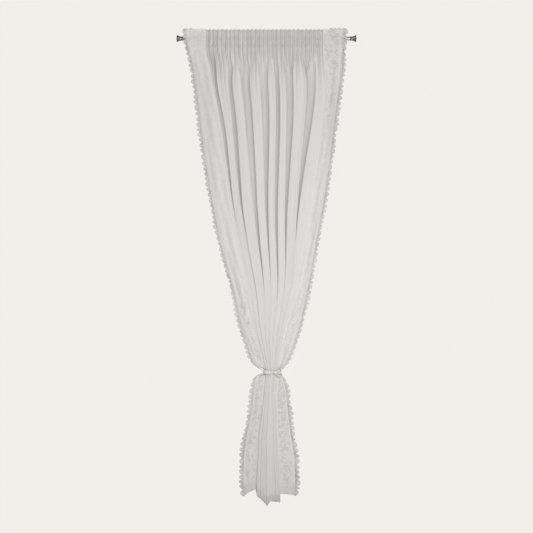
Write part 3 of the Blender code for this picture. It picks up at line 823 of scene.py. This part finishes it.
def lace_strength_with_shade(side, heights, from_edge):
    """How strongly the lace is worked down each band. The extra strength from the waist down, most just below
    the tie and on the band's inner part there, makes the lace denser and also paints shade: the darker tone.
    """
    at_heading, at_waist = above(heights, -0.17, 0.10), below(heights, -1.25, 0.25)
    below_tie = below(heights, -1.76, 0.10)
    if side == LEFT:
        strength = 0.32 + 0.30 * at_heading + 0.50 * below(heights, -0.95, 0.60) + 0.05 * below_tie
    else:
        strength = 0.95 + 0.60 * at_heading - 0.45 * below(heights, -0.35, 0.40) + 0.75 * below_tie
    strength = strength + 0.35 * at_waist + 0.35 * below_tie * above(heights, -2.15, 0.25)
    return strength[:, None] + 0.35 * below_tie[:, None] * above(from_edge, 0.045, 0.040)


def make_band(side, finish):
    name = "lace_band_" + SIDE_NAMES[side]
    heights = np.linspace(HEADING_TOP, ROWS_END, BAND_ROWS)
    parts = np.linspace(0, 1, BAND_COLUMNS)
    # The step side turns the left band's columns round, so that both bands run from left to right
    points = reach_hem(band_grid(side, parts, heights)[:, ::side], HEM_BANDS[side], heights)
    from_edge = (parts if side == LEFT else 1 - parts)[None, :] * BAND_FLAT_WIDTH
    along = (HEADING_TOP - heights)[:, None] + (0.0 if side == LEFT else 0.031)
    motif = lace_pattern(from_edge, along)
    # Painted shade: stronger lace lower down and below the tie darkens the bands there
    motif = np.where(motif > 0, motif * lace_strength_with_shade(side, heights, from_edge), motif)
    points = points + normals_of(points) * (motif * LACE_RELIEF)[:, :, None]
    whole = with_turnings(points, 0.0, HEM_HEIGHT_BAND)
    extra = whole.shape[0] - points.shape[0]
    motif = np.concatenate([motif, motif[-extra - 1 : -1][::-1] * 0.4])
    numbers = {"motif": motif, "hem": hem_shade(whole, HEM_HEIGHT_BAND)}
    band = grid_object(name + "_net", whole, BAND_FLAT_WIDTH, finish, numbers)
    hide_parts(name)


def scallop_reach(place):
    """How far out a scallop's edge with its picots lies, at a share of its length."""
    rounded = max(0.0, math.sin(math.pi * min(max(place, 0), 1))) ** 0.62
    picots = PICOT * (abs(math.sin(PICOTS * math.pi * place)) - 1)
    return SCALLOP_VALLEY + (1 - SCALLOP_VALLEY) * rounded + picots


def scallop_spoke(angle):
    """Where a line at this angle from the middle of the eye meets the eye's rim and the scallop's outline."""
    cosine, sine = math.cos(angle), math.sin(angle)
    for reach in (*np.arange(400) / 400, 3.0):
        place, out = EYE_CENTRE[0] + reach * cosine, EYE_CENTRE[1] + SPOKE_SPREAD * reach * sine
        if not (0 <= place <= 1 and 0 <= out <= scallop_reach(place)):
            break
    eye = (EYE_CENTRE[0] + EYE_HALF_SIZE[0] * cosine, EYE_CENTRE[1] + EYE_HALF_SIZE[1] * sine)
    return np.array([eye, (min(max(place, 0.0), 1.0), max(out, 0.0))])


def scallop_pattern():
    """One scallop as (along, out, relief) points and faces: rings of points from its eye to its outline."""
    spokes = [scallop_spoke(2 * math.pi * (i + 0.5) / SPOKES) for i in range(SPOKES)]
    points = []
    for fraction in RINGS:
        cord = hump(fraction, 0.16, 0.16) + 0.9 * hump(fraction, 0.90, 0.12)
        points += [(*(eye + (edge - eye) * fraction), cord) for eye, edge in spokes]
    faces = []
    for low in range(0, SPOKES * (len(RINGS) - 1), SPOKES):
        for i in range(SPOKES):
            beside = (i + 1) % SPOKES
            faces.append((low + i, low + SPOKES + i, low + SPOKES + beside, low + beside))
    return np.array(points), faces


def edging_frames(side):
    """Points along the edging's foot with the direction it stands out in, from the top corner to the hem."""
    count = round((HEADING_TOP - EDGING_BOTTOM) / SCALLOP_LENGTH)
    heights = np.linspace(HEADING_TOP, EDGING_BOTTOM, count + 1)
    heights[1:-1] += chance.uniform(-SCALLOP_SHIFT, SCALLOP_SHIFT, count - 1) * SCALLOP_LENGTH
    columns = band_grid(side, np.array([0.85, 1.0]), heights)
    feet, inward = columns[:, 1], unit(columns[:, 0] - columns[:, 1])
    feet[:, 2] = heights
    lower = below(heights, -1.80, 0.15)[:, None]
    overlap = EDGING_OVERLAPS[0] + (EDGING_OVERLAPS[1] - EDGING_OVERLAPS[0]) * lower
    feet = feet + inward * overlap * [1, 1, 0] + [0, -0.0012, 0]
    turn = sections_at(heights)["turn"][:, 0] * np.pi / 2
    flutter = 0.30 * wander(heights, 2.1) + chance.uniform(-SCALLOP_TURN, SCALLOP_TURN, len(heights))
    flutter = flutter * (1 - np.sin(turn))
    reach = EDGING_WIDTH * (1 - (1 - EDGING_TIED_SHARE) * np.sin(turn))
    reach = reach * chance.uniform(*SCALLOP_REACH, len(heights)) + overlap[:, 0]
    angle = turn + flutter
    out = np.stack([side * np.cos(angle), np.sin(angle), 0.12 * flutter], axis=1) * reach[:, None]
    corners = CORNER_SCALLOPS[side]
    across = feet[0, 0] - side * SCALLOP_LENGTH * CORNER_PITCH * np.arange(corners, 0, -1)
    corner = [(x, feet[0, 1] + 0.002, CORNER_HEIGHT) for x in across]
    up = [(0.0, 0.002, reach) for reach in chance.uniform(*CORNER_REACH, corners)]
    return np.concatenate([corner, feet]), np.concatenate([up, out])


def make_edging(side, finish):
    name = "lace_edging_" + SIDE_NAMES[side]
    template, template_faces = scallop_pattern()
    along, out, cord = np.hsplit(template, 3)
    feet, outs = edging_frames(side)
    points, faces, places = [], [], []
    for i in range(len(feet) - 1):
        foot = feet[i] * (1 - along) + feet[i + 1] * along
        reach = outs[i] * (1 - along) + outs[i + 1] * along
        facing = unit(np.cross(feet[i + 1] - feet[i], outs[i] + outs[i + 1])) * -side
        cup = SCALLOP_CUP * np.sin(np.pi * along) * out * chance.uniform(-1.0, 1.0)
        faces += [tuple(corner + len(points) for corner in face) for face in template_faces]
        points += (foot + reach * out + facing * (cord * EDGING_RELIEF + cup)).tolist()
        places += np.hstack([out * EDGING_WIDTH, (i + along) * SCALLOP_LENGTH]).tolist()
    motif = np.tile(1 - above(out, 0.24, 0.46), (len(feet) - 1, 1))
    edging = mesh_object(name + "_lace", points, faces, places, finish, {"motif": motif})
    join_close(edging.data, 0.0002)
    thicken(edging, EDGING_THICKNESS)
    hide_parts(name)


def join_close(mesh, distance):
    """Joins points that lie on each other and turns all faces the same way."""
    shape = bmesh.new()
    shape.from_mesh(mesh)
    bmesh.ops.remove_doubles(shape, verts=shape.verts, dist=distance)
    bmesh.ops.recalc_face_normals(shape, faces=shape.faces)
    shape.to_mesh(mesh)
    shape.free()


def make_tape(finish):
    """The gathered strip behind the heading, with the rod between it and the voile."""
    row_z, row_y, row_depth = np.array(TAPE_ROWS).T
    heights = np.linspace(row_z[0], row_z[-1], 34)
    y = smooth_through(row_z, row_y, heights)[:, None]
    depth = smooth_through(row_z, row_depth, heights)[:, None]
    pleats = pleat_numbers(TAPE_COLUMNS_PER_PLEAT)
    heading = voile_grid(pleats, np.full(1, -0.030))[0, :, 0]
    left = np.linspace(TAPE_LEFT, heading[0], TAPE_PLAIN_COLUMNS, endpoint=False)
    right = np.linspace(TAPE_RIGHT, heading[-1], TAPE_PLAIN_COLUMNS, endpoint=False)[::-1]
    x = np.concatenate([left, heading, right])
    fading = smooth_step(np.linspace(0, 1, TAPE_PLAIN_COLUMNS)) * 0.9
    wave = np.concatenate([fading, pencil_pleats(pleats), fading[::-1]])
    points = np.stack([x + 0 * y, y - depth * wave, heights[:, None] + 0 * x], axis=2)
    tape = grid_object("gathering_tape", points, TAPE_FLAT_WIDTH, finish)
    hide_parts("heading_tape")


def make_rod(finish):
    bpy.ops.mesh.primitive_cylinder_add(
        vertices=64,
        radius=ROD_RADIUS,
        depth=ROD_RIGHT - ROD_LEFT,
        location=((ROD_LEFT + ROD_RIGHT) / 2, 0, 0),
        rotation=(0, math.pi / 2, 0),
    )
    rod = bpy.context.object
    rod.name = "curtain_rod"
    rod.data.materials.append(finish)
    rod.data.shade_smooth()
    rod.data.set_sharp_from_angle(angle=math.radians(40))
    adjust(rod.modifiers.new("Edges", "BEVEL"), width=0.0006, segments=2)
    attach(rod, "root")
    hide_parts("rod")


def finial_profile():
    """(radius, height) from the domed end down the trumpet to the collar on the rod."""
    rim_height = FINIAL_LENGTH - FINIAL_DOME_HEIGHT
    turn = np.pi / 2 * np.arange(13) / 12
    dome = (FINIAL_RIM_RADIUS * np.sin(turn), rim_height + FINIAL_DOME_HEIGHT * np.cos(turn))
    edge, step = FINIAL_RIM_EDGE / 2, np.arange(1, 5)
    inward = (1 - np.sin(np.pi / 4 * step + np.pi / 2)) * 0.6
    rim = (FINIAL_RIM_RADIUS - edge * inward, rim_height - edge * step / 2)
    part = 1 - np.arange(1, 19) / 18
    widening = (FINIAL_RIM_RADIUS - 0.0015 - FINIAL_NECK_RADIUS) * part**FINIAL_FLARE
    flare_length = rim_height - FINIAL_RIM_EDGE - FINIAL_COLLAR_LENGTH
    flare = (FINIAL_NECK_RADIUS + widening, FINIAL_COLLAR_LENGTH + flare_length * part)
    share = np.arange(9) / 8
    bead = (FINIAL_COLLAR_RADIUS - FINIAL_NECK_RADIUS) * np.sin(np.pi * share)
    collar = (FINIAL_NECK_RADIUS + bead, FINIAL_COLLAR_LENGTH * (1 - share))
    return np.hstack([dome, rim, flare, collar, [[0.0], [0.0]]]).T


def make_finial(side, finish):
    name = "finial_" + SIDE_NAMES[side]
    points = [(radius, 0, height) for radius, height in finial_profile()]
    mesh = bpy.data.meshes.new(name + "_trumpet")
    mesh.from_pydata(points, [(i, i + 1) for i in range(len(points) - 1)], [])
    finial = finished(name + "_trumpet", mesh, finish)
    screw = finial.modifiers.new("Turn", "SCREW")
    adjust(screw, axis="Z", steps=FINIAL_STEPS, render_steps=FINIAL_STEPS)
    adjust(screw, use_merge_vertices=True, merge_threshold=0.00001)
    finial.parent = None
    end = ROD_LEFT if side == LEFT else ROD_RIGHT
    finial.location = (end + side * METAL_GAP, 0, 0)
    finial.rotation_euler = (0, side * math.pi / 2, 0)
    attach(finial, "root")
    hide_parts(name)


def oval_point(angle, half_width, half_depth):
    cosine, sine = np.cos(angle), np.sin(angle)
    power = 2 / TIE_SQUARENESS
    x = TIE_CENTRE_X + half_width * np.copysign(np.abs(cosine) ** power, cosine)
    y = TIE_CENTRE_Y + half_depth * np.copysign(np.abs(sine) ** power, sine)
    return x, y


def tie_ring():
    """The ribbon round the waist: pleated lengthwise and drawn narrow where it enters the knot."""
    steps, rows = 180, 15
    turn = 2 * np.pi * np.arange(steps + 1)[:, None] / steps
    angle = KNOT_ANGLE + turn
    away = np.minimum(turn, 2 * np.pi - turn)
    up = 1 - 2 * np.arange(rows) / (rows - 1)
    ridges = np.cos(2 * np.pi * (up * 1.15 + 0.18 * np.sin(angle * 1.5)))
    out = 0.0016 + 0.0005 * ridges * (0.6 + 0.4 * hump(away, 0, 0.8))
    x, y = oval_point(angle, TIE_INNER_HALF_WIDTH + out, TIE_INNER_HALF_DEPTH + out)
    slant = 0.0010 * np.sin(angle * 2 + 0.7)
    pinch = 1 - 0.55 * hump(away, 0, 0.42)
    z = TIE_MIDDLE + slant + up * (TIE_TOP - TIE_BOTTOM) / 2 * RING_NARROWED * pinch
    return np.stack([x, y, z], axis=2)


def tie_end(route, phase):
    """A short ribbon end along its route, cut to a swallowtail."""
    steps, rows = 26, 9
    at = np.linspace(0, 1, steps)
    places = np.linspace(0, 1, len(route))
    line = np.stack([smooth_through(places, values, at) for values in zip(*route)], axis=1)
    at, up = at[:, None], 1 - 2 * np.arange(rows) / (rows - 1)
    width = END_HALF_WIDTH * (0.50 + 0.62 * at**0.8)
    curl = 0.0016 * np.cos(2.2 * up + phase) * (1 - 0.4 * at)
    notch = -0.0045 * (1 - np.abs(up)) * above(at, 0.75, 0.25)
    return line[:, None] + np.stack([0.25 * width * up + notch, curl, width * up], axis=2)


def tie_knot():
    """The knot: a small bundle wrapped by the ribbon, with the creases that the pull gives it."""
    knot_x, knot_y = oval_point(KNOT_ANGLE, TIE_INNER_HALF_WIDTH, TIE_INNER_HALF_DEPTH)
    turn = np.linspace(0, 2 * np.pi, 61)[:, None]
    tilt = np.linspace(0.03, np.pi - 0.03, 33)
    crease = 1 + 0.07 * np.sin(4 * tilt + 1.2 * np.sin(turn)) * np.sin(tilt)
    ring = np.sin(tilt) ** 0.7 * crease
    wide = np.copysign(np.abs(np.cos(tilt)) ** 0.8, np.cos(tilt))
    x = knot_x + KNOT_SIZE[0] * wide + 0.0012 * np.sin(turn) * ring
    y = knot_y + KNOT_SIZE[1] * (ring * np.cos(turn) - 0.8)
    z = TIE_MIDDLE + KNOT_SIZE[2] * ring * np.sin(turn)
    return np.stack([x, y, z], axis=2)


def make_tie(finish):
    points, faces, places = [], [], []
    for grid in (tie_ring(), tie_knot(), tie_end(END_UPPER, 0.4), tie_end(END_LOWER, 2.0)):
        rows, columns = grid.shape[:2]
        faces += grid_faces(rows, columns, len(points))
        points += grid.reshape(-1, 3).tolist()
        places += grid_places(RIBBON_WIDTH, columns, grid[:, columns // 2]).tolist()
    tie = mesh_object("ribbon_tie", points, faces, places, finish)
    join_close(tie.data, 0.00002)
    thicken(tie, RIBBON_THICKNESS)
    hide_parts("tie")


def stitches(lines, finish):
    """Short threads lying on the cloth along lines of points with their outward directions."""
    rings, sides = ((0, 0.45), (0.25, 1.0), (0.75, 1.0), (1, 0.45)), 5
    turn = (2 * np.pi * np.arange(sides) / sides)[:, None]
    template = [tuple(reversed(range(sides))), tuple(range(3 * sides, 4 * sides))]
    for low in range(0, 3 * sides, sides):
        for corner in range(sides):
            after = (corner + 1) % sides
            template.append((low + corner, low + after, low + sides + after, low + sides + corner))
    points, faces = [], []
    for path, out in lines:
        along = distances(path)
        starts = np.arange(STITCH_PITCH / 2, along[-1] - STITCH_PITCH, STITCH_PITCH)
        begin, end, lift = (
            np.stack([np.interp(at, along, values) for values in table.T], axis=1)[:, None]
            for at, table in ((starts, path), (starts + STITCH_LENGTH, path), (starts, out))
        )
        lift = unit(lift)
        round_it = unit(np.cross(end - begin, lift)) * np.cos(turn) + lift * np.sin(turn)
        threads = [
            begin + (end - begin) * share + (lift * (0.4 + size) + round_it * size) * STITCH_RADIUS
            for share, size in rings
        ]
        for thread in np.concatenate(threads, axis=1):
            faces += [tuple(corner + len(points) for corner in face) for face in template]
            points += thread.tolist()
    mesh_object("stitching", points, faces, np.array(points)[:, :2], finish)


def make_stitching(finish):
    """The sewn lines of the heading, the voile's hem and the two seams with the bands."""
    pleats = pleat_numbers(TAPE_COLUMNS_PER_PLEAT)
    lines = []
    for height in SEWN_LINES:
        rows = voile_grid(pleats, np.array([height + 0.003, height, height - 0.003]))
        lines.append((rows[1], normals_of(rows)[1]))
    heights = cloth_heights()
    whole = reach_hem(voile_grid(pleats, heights), HEM_VOILE, heights)
    level = whole[-1, :, 2].mean() + HEM_HEIGHT_VOILE - 0.003
    row = int(np.argmax(whole[:, :, 2].mean(axis=1) < level))
    lines.append((whole[row], normals_of(whole)[row]))
    for side in (LEFT, RIGHT):
        rows = band_grid(side, np.array([0.0, 0.03, 0.06]), heights[heights > SEAMS_END])
        facing = normals_of(rows[:, ::side])
        lines.append((rows[:, 1], facing[:, 1]))
    stitches(lines, finish)


# Scene


def make_stage():
    bpy.ops.mesh.primitive_plane_add(size=3.2, location=(0, -0.85, -2.75))
    floor = bpy.context.object
    floor.name = "floor"
    floor.data.materials.append(floor_material())


def add_light(name, place, aim, size, power):
    data = adjust(bpy.data.lights.new(name, "AREA"), shape="RECTANGLE", energy=power)
    data.size, data.size_y = size
    light = new_object(name, data)
    adjust(light, location=place, rotation_mode="QUATERNION", visible_camera=False)
    light.rotation_quaternion = Vector(np.array(aim) - np.array(place)).to_track_quat("-Z", "Y")


def make_light():
    """A pale backdrop, which lights the cloth more from the front than from behind, and two lamps."""
    world = bpy.data.worlds.new("studio")
    world.use_nodes = True
    tree = world.node_tree
    sky = tree.nodes["Background"]
    sky.inputs["Color"].default_value = (*BACKDROP, 1.0)
    axes = add_node(tree, "SeparateXYZ", [(0, add_node(tree, "TexCoord").outputs["Generated"])])
    front = maths(tree, "MAXIMUM", maths(tree, "MULTIPLY", axes.outputs[1], -1.0), 0.0)
    level = maths(tree, "MULTIPLY_ADD", front, SKY_FRONT - SKY_ROUND, SKY_ROUND)
    steep = maths(tree, "MULTIPLY", axes.outputs[2], axes.outputs[2])
    level = maths(tree, "MULTIPLY", level, maths(tree, "MULTIPLY_ADD", steep, SKY_STEEP - 1.0, 1.0))
    seen = add_node(tree, "LightPath").outputs["Is Camera Ray"]
    strength = add_node(tree, "Mix", [(0, seen), (2, level), (3, 1.0)]).outputs[0]
    tree.links.new(strength, sky.inputs["Strength"])
    bpy.context.scene.world = world
    add_light("key", (0.34, -1.9, -1.42), (0.0, 0.0, -1.32), (1.2, 1.2), KEY_POWER)
    add_light("heading_fill", (0.0, -0.5, 0.32), (0.0, 0.0, 0.01), (1.1, 0.15), HEADING_POWER)
    bpy.context.scene.view_settings.view_transform = "Standard"


def make_camera():
    data = bpy.data.cameras.new("camera")
    data.sensor_width = SENSOR_WIDTH
    data.lens = SENSOR_WIDTH * CAMERA_DISTANCE / (PHOTO_PIXELS * PIXEL_SIZE)
    camera = new_object("camera", data)
    camera.location = (CAMERA_X, -CAMERA_DISTANCE, CAMERA_Z)
    camera.rotation_euler = (math.pi / 2, 0, 0)
    bpy.context.scene.camera = camera


def main():
    make_camera()
    make_light()
    make_stage()
    cloths = {name: cloth_material(name) for name in CLOTHS}
    edge_ribbon(cloths["ribbon_satin"])
    rod_metal = metal_material("rod_nickel", (0.30, 0.29, 0.28), (0.36, 0.35, 0.33), 0.22, 40.0)
    finial_metal = metal_material("finial_nickel", (0.18, 0.172, 0.165), (0.25, 0.24, 0.225), 0.14, 60.0)
    make_rod(rod_metal)
    make_voile(cloths["voile_weave"])
    make_tape(cloths["tape_weave"])
    make_tie(cloths["ribbon_satin"])
    make_stitching(cloths["sewing_thread"])
    for side in (LEFT, RIGHT):
        make_finial(side, finial_metal)
        make_band(side, cloths["lace_net"])
        make_edging(side, cloths["lace_trim"])


main()
